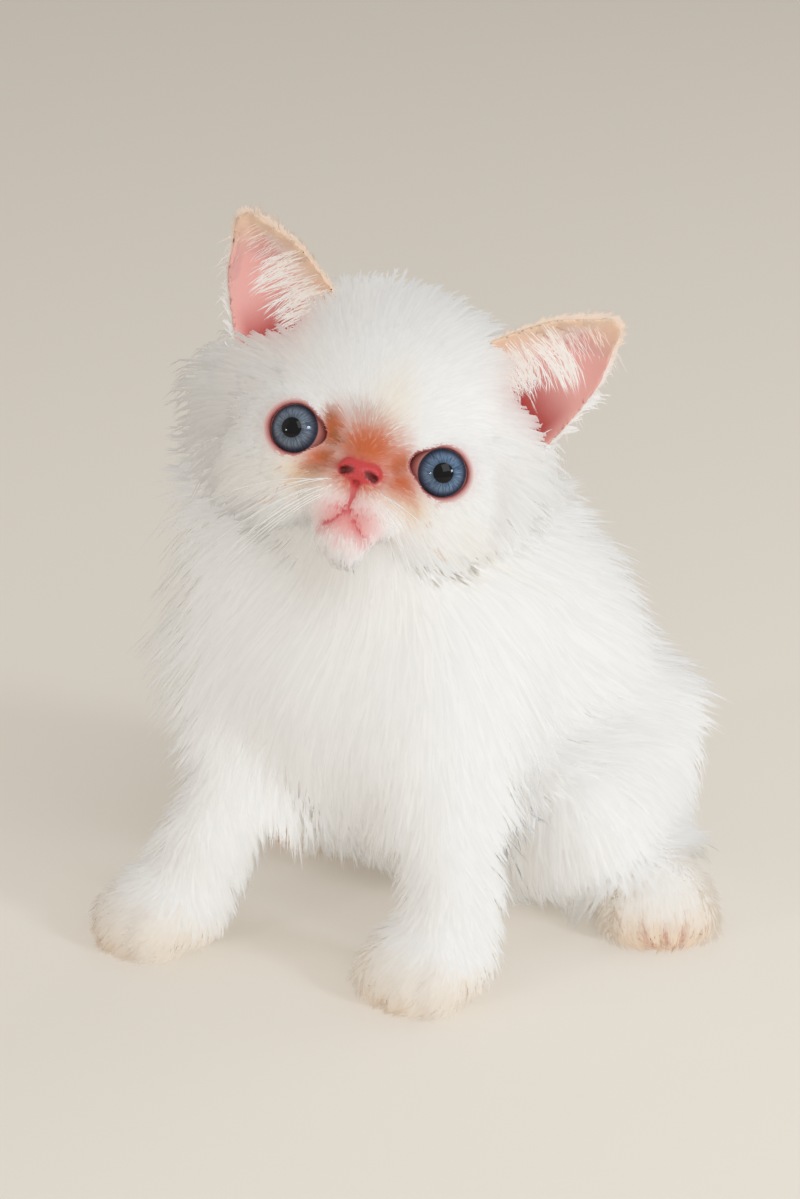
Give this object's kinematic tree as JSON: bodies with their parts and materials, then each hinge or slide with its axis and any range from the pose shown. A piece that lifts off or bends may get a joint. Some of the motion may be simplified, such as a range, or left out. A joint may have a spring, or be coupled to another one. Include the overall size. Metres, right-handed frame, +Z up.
{
  "type": "persian kitten",
  "caption": "Life-size sitting longhaired kitten with a snub face, cupped ears, a deep ruff and splayed front legs, as a still model.",
  "frame": {"origin": "middle of the underside of the box round the whole kitten, on the floor that it sits on", "axes": "+Z up; the body faces -Y; the kitten's own left is +X"},
  "size_m": [0.1532, 0.1806, 0.2],
  "materials": {
    "coat": "long soft white hair with a cream tint at the feet and tail and an orange stain round the nose",
    "ear_skin": "thin pale pink skin, peach along the edge, short hair on the back",
    "eye": "wet, slate blue iris with a dark rim and a round black pupil"
  },
  "bodies": {
    "root": {"head": "coat", "ear_left": "ear_skin", "ear_right": "ear_skin", "eye_left": "eye", "eye_right": "eye", "neck": "coat", "torso": "coat", "foreleg_left": "coat", "foreleg_right": "coat", "forepaw_left": "coat", "forepaw_right": "coat", "thigh_left": "coat", "thigh_right": "coat", "hindfoot_left": "coat", "hindfoot_right": "coat", "tail": "coat"}
  },
  "joints": []
}
